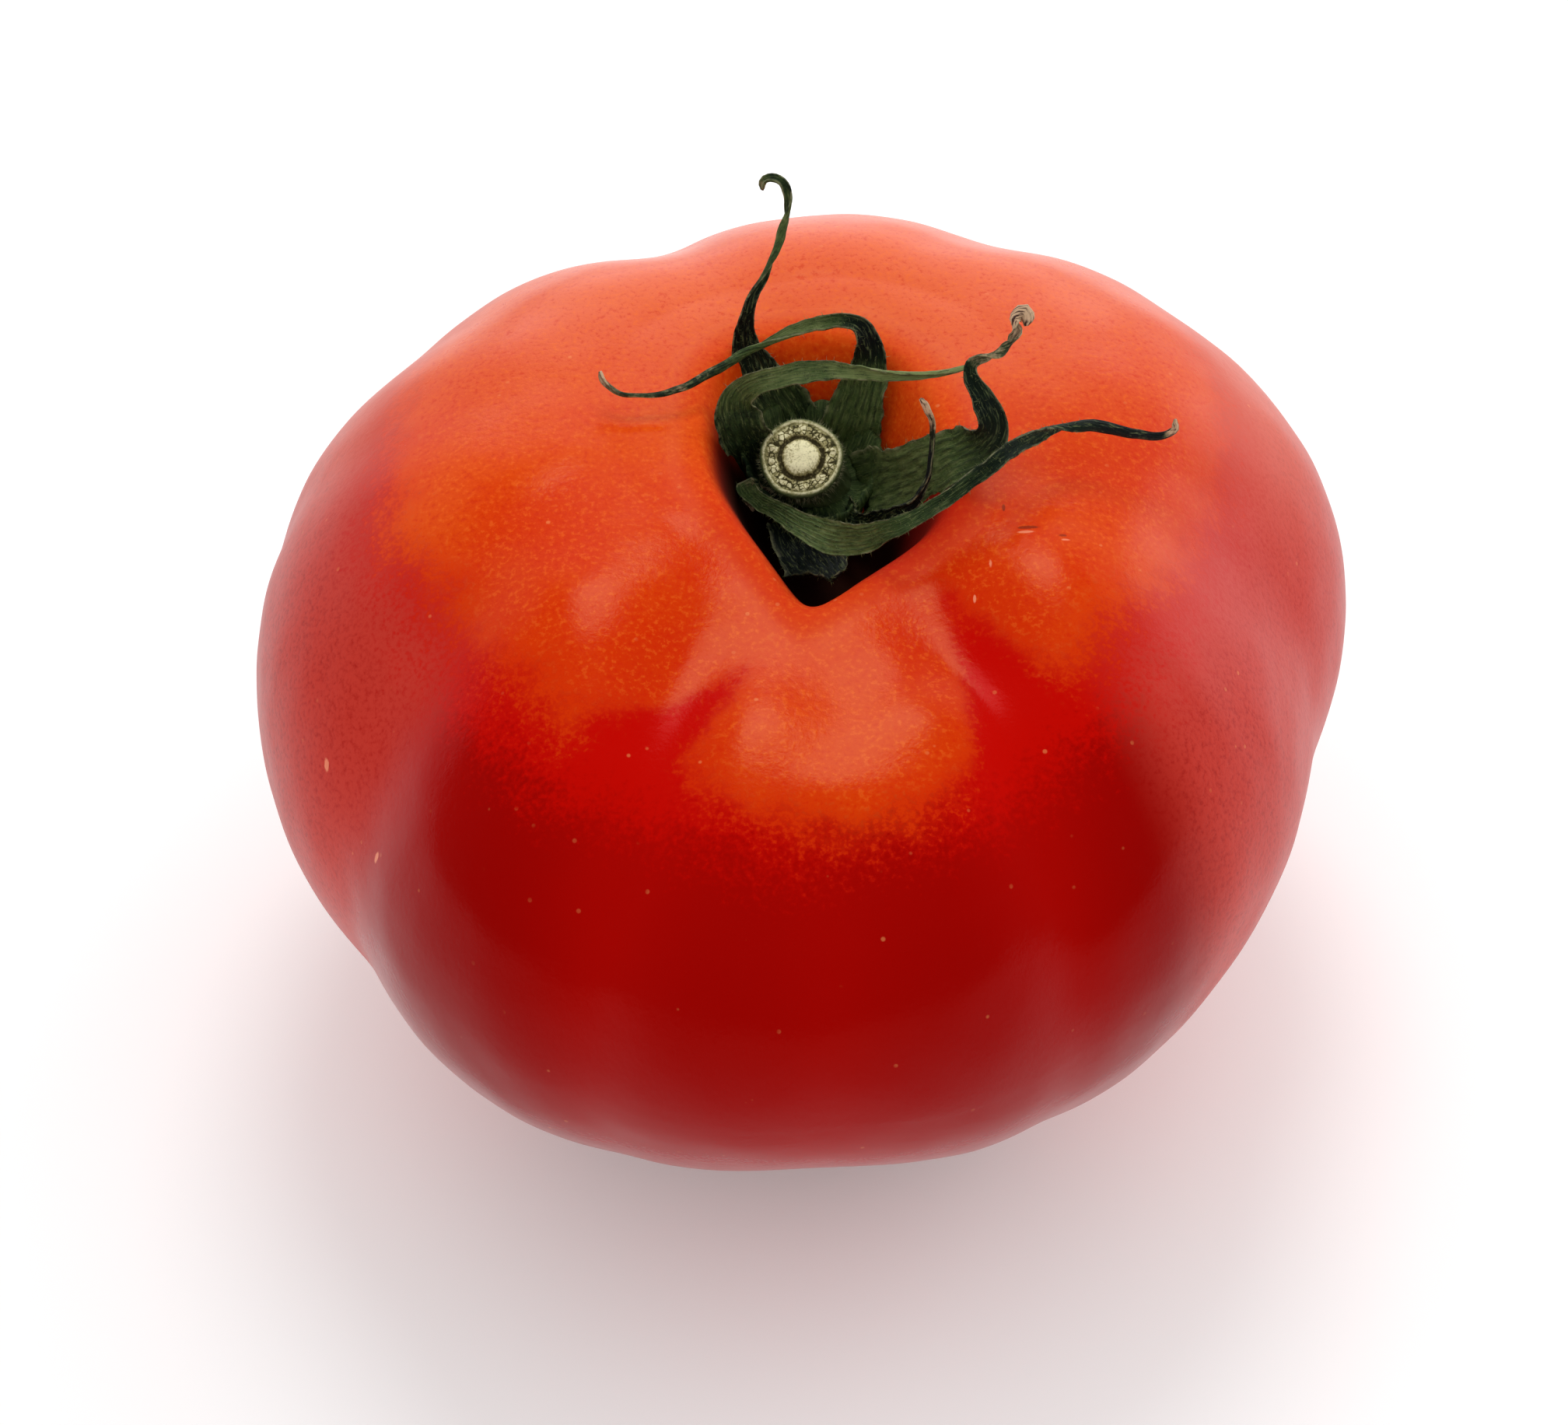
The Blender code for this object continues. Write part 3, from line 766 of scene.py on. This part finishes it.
# Look along each course, one value per station. Tone runs from -1, blue-black, over 0, dark green,
# to 1, pale olive. It is partly the blade's own colour and partly painted light and shade: lighter
# where a blade is lit, blue-black where it lies in shadow, as sepal_front does in the pit. Dry runs
# from 0, fresh, to 1, brown and papery. Girth scales the width.
TONE_AND_SHADING = {
    "sepal_back_left": (0.2, 0.2, 0.1, -0.5, -0.6, 0.1, 0.45, 0.3, 0.1, 0.1, 0.2, 0.3),
    "sepal_back": (0.4, 0.55, 0.6, 0.4, -0.9, -0.2, 0.85, 0.5, 0.1, 0.0, 0.1, 0.2, 0.3),
    "sepal_left": (0.0, 0.0, 0.05, 0.2, 0.6, 0.8, 0.7, 1.0, 1.15, 1.15),
    "sepal_right": (0.5, 0.65, 0.8, 0.6, 0.1, -0.3, -0.5, -0.2, 0.2, 0.2, 0.1, 0.3, 0.4, 0.4),
    "sepal_front_right": (
        0.1, 0.5, 0.4, 0.4, 0.7, 0.7, 0.4, 0.2, 0.0, -0.2, -0.2, -0.5, -0.7, -0.8, -0.8, 0.2, 0.4
    ),
    "sepal_front": (-0.5, -0.8, -1.1, -1.2, -1.0),
    "sepal_small": (0.0, -0.3, -0.6, -0.8, -0.9, -0.8, 0.0, 0.2),
}
DRYNESS = {
    "sepal_back_left": (0.0, 0.0, 0.0, 0.0, 0.0, 0.15, 0.1, 0.1, 0.1, 0.2, 0.3, 0.5),
    "sepal_back": (0.0, 0.0, 0.0, 0.0, 0.0, 0.1, 0.0, 0.2, 0.4, 0.4, 0.4, 0.6, 0.9),
    "sepal_left": (0.1, 0.0, 0.0, 0.0, 0.0, 0.1, 0.1, 0.1, 0.1, 0.2),
    "sepal_right": (0.0, 0.0, 0.0, 0.0, 0.0, 0.0, 0.1, 0.2, 0.5, 0.5, 0.6, 0.95, 1.0, 1.0),
    "sepal_front_right": (
        0.9, 0.4, 0.0, 0.0, 0.0, 0.1, 0.2, 0.3, 0.1, 0.1, 0.1, 0.1, 0.1, 0.2, 0.3, 0.9, 1.0
    ),
    "sepal_front": (0.0, 0.0, 0.0, 0.0, 0.1),
    "sepal_small": (0.0, 0.0, 0.0, 0.1, 0.1, 0.1, 0.5, 0.8),
}
GIRTHS = {
    "sepal_back_left": (1.8, 1.3, 1.1, 0.85, 0.62, 0.60, 0.65, 0.65, 0.65, 0.65, 0.7, 0.7),
    "sepal_back": (1.6, 1.2, 1.1, 1.0, 1.0, 0.85, 0.75, 0.65, 0.55, 0.50, 0.45, 0.50, 0.6),
    "sepal_left": (2.2, 1.3, 1.0, 1.0, 0.95, 0.85, 0.85, 0.8, 0.75, 0.75),
    "sepal_right": (2.3, 1.6, 1.2, 1.05, 0.95, 0.85, 0.8, 0.65, 0.6, 0.6, 0.7, 0.95, 0.95, 0.8),
    "sepal_front_right": (
        1.1, 0.75, 0.52, 0.62, 0.95, 0.95, 0.62, 0.50, 0.62, 0.8, 0.8, 0.8, 0.75, 0.7, 0.65, 0.7, 0.8
    ),
    "sepal_front": (1.6, 1.2, 1.15, 1.1, 1.0),
    "sepal_small": (1.6, 1.1, 0.8, 0.6, 0.55, 0.55, 0.7, 0.9),
}
TAIL_TURNS = {"sepal_right": 1.6, "sepal_back": 0.8, "sepal_back_left": 1.1, "sepal_front_right": 0.7}

# The darkest tone is partly painted shadow.
SHADOW_BLACK_GREEN = (0.0035, 0.0075, 0.0085)
DARK_GREEN = (0.0055, 0.0190, 0.0065)
LEAF_GREEN = (0.060, 0.102, 0.022)
OLIVE_GREEN = (0.17, 0.21, 0.065)
PALE_FIBRE = (0.21, 0.25, 0.09)
DARK_FIBRE = (0.005, 0.014, 0.005)
VEIN_GREEN = (0.006, 0.014, 0.005)
DRY_FIBRE = (0.060, 0.020, 0.012)
DRY_BROWN = (0.58, 0.38, 0.23)
MARGIN_STRAW = (0.34, 0.33, 0.17)


def calyx_material():
    shader = Shader("calyx_green")
    fine = shader.noise(0.20, detail=4.0, roughness=0.7)
    patch = shader.noise(0.9, detail=4.0, roughness=0.65)
    fibre = shader.noise(0.13, shader.attribute("fibre", "Vector"), detail=3.0, roughness=0.6)
    tone = shader.wander(shader.wander(shader.attribute("tone"), patch, 1.1), fine, 0.7)
    # tone carries painted shade and light as well as the blades' own colour.
    colour = shader.mix(shader.step(tone, -0.9, -0.1), SHADOW_BLACK_GREEN, DARK_GREEN)
    colour = shader.mix(shader.step(tone, -0.2, 0.55), colour, LEAF_GREEN)
    colour = shader.mix(shader.step(tone, 0.4, 1.2), colour, OLIVE_GREEN)
    colour = shader.mix(shader.step(fibre, 0.52, 0.70, 0.50), colour, PALE_FIBRE)
    colour = shader.mix(shader.step(fibre, 0.47, 0.33, 0.60), colour, DARK_FIBRE)
    vein = shader.times(shader.attribute("vein"), shader.step(patch, 0.25, 0.60))
    colour = shader.mix(shader.times(vein, 0.70), colour, VEIN_GREEN)
    brown = shader.mix(shader.step(fibre, 0.40, 0.55), DRY_FIBRE, DRY_BROWN)
    dry = shader.wander(shader.attribute("dry"), patch, 0.9)
    colour = shader.mix(shader.step(dry, 0.35, 0.75), colour, brown)
    edge = shader.times(shader.attribute("margin"), shader.step(patch, 0.38, 0.62))
    colour = shader.mix(shader.times(edge, 0.7), colour, MARGIN_STRAW)
    shader.set("Base Color", colour)
    shader.set("Roughness", 0.60)
    shader.set("Specular IOR Level", 0.25)
    normal = shader.bump(fibre, 0.14)
    shader.set("Normal", shader.bump(fine, 0.08, normal))
    return shader.material


def smooth_course(stations, *looks):
    """Rows of x, y, z, width and looks, a RING_PITCH apart on a smooth curve through the stations.

    The second result is how far along the curve each row lies.
    """
    rows = [np.array(row) for row in np.column_stack([np.array(stations), *looks])]
    rows = [rows[0] * 2.0 - rows[1], *rows, rows[-1] * 2.0 - rows[-2]]
    dense = []
    for before, start, end, after in zip(rows, rows[1:], rows[2:], rows[3:]):
        for t in np.arange(COURSE_STEPS) / COURSE_STEPS:
            bend = (before * 2.0 - start * 5.0 + end * 4.0 - after) * t * t
            twist = (start * 3.0 - before - end * 3.0 + after) * t * t * t
            dense.append((start * 2.0 + (end - before) * t + bend + twist) * 0.5)
    dense.append(rows[-2])
    dense = np.array(dense)
    pieces = np.linalg.norm(np.diff(dense[:, :3], axis=0), axis=1)
    lengths = np.concatenate([[0.0], np.cumsum(pieces)])
    count = max(int(lengths[-1] / RING_PITCH), 8)
    wanted = np.linspace(0.0, lengths[-1], count)
    return np.stack([np.interp(wanted, lengths, column) for column in dense.T], axis=-1), wanted


def make_sepal(name, stations, material, seed):
    """A thin wilted blade: cupped and veined where broad, a rolled and twisted ribbon at its tail."""
    rows, along = smooth_course(stations, TONE_AND_SHADING[name], DRYNESS[name], GIRTHS[name])
    length = along[-1]
    us = np.linspace(-1.0, 1.0, ACROSS)
    points, tones, margins, dryness, fibres, veins = [], [], [], [], [], []
    spots = []
    shift = Vector((seed * 7.3, seed * 3.1, seed * 5.7))
    narrow = (along > length * 0.25) & (rows[:, 3] < TAIL_WIDTH)
    narrow_from = along[int(np.argmax(narrow))]
    for index, (x, y, z, width, tone, dry, girth) in enumerate(rows):
        ahead = Vector(rows[min(index + 1, len(rows) - 1)][:3])
        behind = Vector(rows[max(index - 1, 0)][:3])
        tangent = (ahead - behind).normalized()
        s = along[index]
        place = Vector((x, y, z))
        place += 0.10 * noise.noise_vector(place / 1.8 + shift) * float(between(s, 2.0, 5.0))
        rolled = float(1.0 - between(width, 1.1, 2.6))
        width *= girth * (1.0 + 0.10 * noise.noise(Vector((s / 1.3, seed, 0.0))))
        cup = math.radians(50.0 + 120.0 * rolled)
        side = tangent.cross(SEPAL_FACING).normalized()
        turns = TAIL_TURNS.get(name, 0.3) * between(s, narrow_from, length)
        twist = 2.0 * math.pi * float(turns) + 0.25 * math.sin(s / 1.9 + seed)
        side = Matrix.Rotation(twist, 3, tangent) @ side
        normal = side.cross(tangent)
        tip = float(between(length - s, -0.1, 0.45))
        radius = width / 2.0 / math.sin(cup / 2.0) * (0.2 + 0.8 * tip)
        centre = place + normal * radius
        for layer, order in ((1.0, us), (-1.0, us[::-1])):
            for u in order:
                ragged = 1.0 + 0.04 * abs(u) ** 6 * noise.noise(Vector((s / 0.35, u * 3.0, seed)))
                angle = u * cup / 2.0 * ragged
                thickness = BLADE_THICKNESS * (1.0 - 0.65 * abs(u) ** 3)
                bent = u + 0.10 * noise.noise(Vector((s / 2.5, u, seed * 2.0)))
                wave = math.cos(math.pi * VEINS * bent)
                vein = 0.07 * wave * (1.0 - 0.6 * rolled)
                curl = 0.20 * abs(u) ** 3 * noise.noise(Vector((s / 1.1, u * 1.4, seed * 9.0)))
                crumple = 0.10 * noise.noise(Vector((s / 0.7, u * width, seed * 4.0)))
                reach = radius + layer * thickness / 2.0 + vein
                reach += (curl + crumple) * min(width / 2.5, 1.2)
                spot = centre + (side * math.sin(angle) - normal * math.cos(angle)) * reach
                points.append(spot)
                tones.append(tone)
                margins.append(float(between(abs(u), 0.86, 1.0)))
                veins.append(float(between(-wave, 0.35, 0.95)) * (1.0 - rolled))
                dryness.append(dry)
                fibres.append((u * width / 2.0, s / 9.0, seed * 3.0 + layer))
                out = (spot - centre).normalized() * layer
                spots.append((spot, out, (side * u).normalized(), abs(u), s, width))
    faces = tube_faces(len(rows), 2 * ACROSS)
    blade_count = len(points)
    for _ in range(int(length * HAIRS_PER_MM)):
        spot, out, sideways, edge, s, width = spots[int(rng.integers(0, len(spots)))]
        if width < 1.0 or rng.random() > 1.15 - 0.9 * s / length:
            continue
        lean = Vector(rng.normal(0.0, 0.45, 3))
        direction = (out + lean + (sideways * 1.5 if edge > 0.9 else Vector())).normalized()
        add_hair(points, faces, spot, direction, float(rng.uniform(0.2, 0.55)))
    hair_count = len(points) - blade_count
    blade = new_object(name + "_blade", [tuple(p) for p in points], faces, material)
    add_values(blade, "tone", tones + [1.3] * hair_count)
    add_values(blade, "margin", margins + [0.5] * hair_count)
    add_values(blade, "dry", dryness + [0.0] * hair_count)
    add_values(blade, "vein", veins + [0.0] * hair_count)
    add_vectors(blade, "fibre", fibres + [(9.0, 9.0, 9.0)] * hair_count)
    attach(blade, "root")
    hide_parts(name)
    return blade


# Hub of the calyx, from the stem's foot out to where the sepals part: radius, height.
HUB_PROFILE = (
    (2.6, 51.3),
    (3.6, 51.5),
    (4.6, 52.4),
    (5.3, 53.8),
    (5.8, 55.4),
    (5.9, 56.0),
    (5.6, 55.9),
    (5.0, 54.4),
    (4.2, 53.4),
    (3.3, 53.1),
    (2.6, 53.0),
)
# Where the hub runs up into a sepal, or down: azimuth, spread, extra height.
HUB_LOBES = ((70.0, 26.0, 1.0), (125.0, 24.0, 1.2), (185.0, 24.0, 1.0), (290.0, 52.0, -2.2))
HUB_TONE = 0.35
# Painted shade: the hub is darker towards its front left, under the calyx's front part.
HUB_SHADE_AZIMUTH, HUB_SHADE_SPREAD = 230.0, 60.0


def make_calyx():
    material = calyx_material()
    for seed, (name, stations) in enumerate(SEPALS.items()):
        make_sepal(name, stations, material, seed)
    points, fibres, tones = [], [], []
    for radius, height in HUB_PROFILE:
        spread = between(radius, 3.6, 5.6)
        for step in range(HUB_STEPS):
            azimuth = 360.0 * step / HUB_STEPS
            turn = math.radians(azimuth)
            lift = 0.0
            for centre, wide, gain in HUB_LOBES:
                lift += gain * bump(turn_from(azimuth, centre), 0.0, wide)
            crease = 0.12 * math.sin(23.0 * turn) + 0.5 * noise.noise(ray(turn, height) * 2.0)
            reach = radius + crease * spread
            y = STEM_SET_BACK + reach * math.sin(turn)
            points.append((reach * math.cos(turn), y, height + lift * spread))
            fibres.append((turn * 4.0, radius / 6.0, 50.0))
            # Painted shade under the calyx's front part.
            dark = bump(turn_from(azimuth, HUB_SHADE_AZIMUTH), 0.0, HUB_SHADE_SPREAD)
            tones.append(HUB_TONE - 0.5 * dark)
    faces = tube_faces(len(HUB_PROFILE), HUB_STEPS)
    hub = new_object("calyx_hub", points, faces, material)
    add_values(hub, "tone", tones)
    for look in ("margin", "dry", "vein"):
        add_values(hub, look, [0.0] * len(points))
    add_vectors(hub, "fibre", fibres)
    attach(hub, "root")
    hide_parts("calyx_disc")


# ---------------------------------------------------------------- stage, light and camera

CAMERA_ELEVATION = 43.0
CAMERA_DISTANCE = 350.0
CAMERA_TARGET = 33.5  # height
FOCAL_SHARE = 5250.0 / 2016.0  # focal length as a share of the picture's width
SHIFT = (-0.0171, -0.0074)

STUDIO_CENTRE = Vector((0.0, 0.0, 0.04))
FLAG_DISTANCE = 700.0
FLAG_HALF_WIDTH = 92.0
FLAG_FOOT = -6.0
FLAG_CORNER = 32.0
CEILING_EDGE = 50.0
FLAG_ROWS = 12
FLAG_STEPS = 72
FLAG_COLOUR = (0.003, 0.002, 0.002)
SKY_BRIGHTNESS = 0.85
FLOOR_REACH = 4000.0
FLOOR_COLOUR = (0.92, 0.92, 0.92)
FLOOR_GLOW = 0.13  # a floor of lit milk glass, which lightens the shadow on it
# Round lamps: azimuth and elevation in degrees, distance and radius in metres, and radiance.
LAMPS = {
    "top_lamp": (90.0, 65.0, 0.6, 0.12, 5.5),
    "back_window": (90.0, 22.0, 1.0, 0.40, 1.0),
    "right_window": (35.0, 15.0, 0.9, 0.28, 1.8),
}


def plain_material(name, colour, roughness, glow=0.0):
    shader = Shader(name)
    shader.set("Emission Color", (1.0, 1.0, 1.0))
    shader.set("Emission Strength", glow)
    shader.set("Base Color", colour)
    shader.set("Roughness", roughness)
    return shader.material


def studio_lamp(name, azimuth, elevation, distance, radius, radiance):
    """A round soft lamp that faces the fruit. radiance 1 is as bright as the white sky."""
    light = bpy.data.lights.new(name, "AREA")
    light.shape = "DISK"
    light.size = 2.0 * radius
    light.energy = radiance * math.pi * math.pi * radius**2
    lamp = bpy.data.objects.new(name, light)
    turn, rise = math.radians(azimuth), math.radians(elevation)
    away = ray(turn) * math.cos(rise)
    away.z = math.sin(rise)
    lamp.location = STUDIO_CENTRE + away * distance
    lamp.rotation_mode = "QUATERNION"
    lamp.rotation_quaternion = away.to_track_quat("Z", "Y")
    bpy.context.scene.collection.objects.link(lamp)


def dark_flag():
    """The dark room in front of the table and its dark ceiling, seen only as a reflection."""
    points, faces = [], []
    for row in range(FLAG_ROWS + 1):
        for step in range(FLAG_STEPS):
            turn = 360.0 * step / FLAG_STEPS - 180.0
            to_side = between(abs(turn), FLAG_HALF_WIDTH, FLAG_HALF_WIDTH + FLAG_CORNER)
            edge = FLAG_FOOT + (CEILING_EDGE - FLAG_FOOT) * to_side
            rise = math.radians(edge + (90.0 - edge) * row / (FLAG_ROWS + 1.0))
            level = FLAG_DISTANCE * math.cos(rise)
            x = level * math.sin(math.radians(turn))
            y = -level * math.cos(math.radians(turn))
            points.append((x, y, CAMERA_TARGET + FLAG_DISTANCE * math.sin(rise)))
    for row in range(FLAG_ROWS):
        for step in range(FLAG_STEPS):
            after = (step + 1) % FLAG_STEPS
            start = row * FLAG_STEPS
            above = start + FLAG_STEPS
            faces.append((start + step, start + after, above + after, above + step))
    faces.append(tuple(FLAG_ROWS * FLAG_STEPS + step for step in range(FLAG_STEPS)))
    flag = new_object("dark_flag", points, faces, plain_material("flag", FLAG_COLOUR, 1.0))
    flag.visible_camera = False
    flag.visible_diffuse = False
    flag.visible_shadow = False


def make_stage():
    scene = bpy.context.scene
    scene.view_settings.view_transform = "Standard"
    world = bpy.data.worlds.new("studio")
    world.use_nodes = True
    background = world.node_tree.nodes["Background"]
    background.inputs["Color"].default_value = (1.0, 1.0, 1.0, 1.0)
    background.inputs["Strength"].default_value = SKY_BRIGHTNESS
    scene.world = world

    corners = [(x * FLOOR_REACH, y * FLOOR_REACH, 0.0) for x, y in ((-1, -1), (1, -1), (1, 1), (-1, 1))]
    milk_glass = plain_material("floor", FLOOR_COLOUR, 0.8, FLOOR_GLOW)
    floor = new_object("floor", corners, [(0, 1, 2, 3)], milk_glass)

    elevation = math.radians(CAMERA_ELEVATION)
    back = Vector((0.0, -math.cos(elevation), math.sin(elevation)))
    target = Vector((0.0, 0.0, CAMERA_TARGET * MM))
    camera = bpy.data.objects.new("camera", bpy.data.cameras.new("camera"))
    camera.location = target + back * CAMERA_DISTANCE * MM
    camera.rotation_mode = "QUATERNION"
    camera.rotation_quaternion = (-back).to_track_quat("-Z", "Y")
    camera.data.sensor_width = 36.0
    camera.data.lens = 36.0 * FOCAL_SHARE
    camera.data.shift_x, camera.data.shift_y = SHIFT
    camera.data.clip_start = 0.01
    scene.collection.objects.link(camera)
    scene.camera = camera

    dark_flag()
    for name, settings in LAMPS.items():
        studio_lamp(name, *settings)


make_skin()
make_stem()
make_calyx()
make_stage()
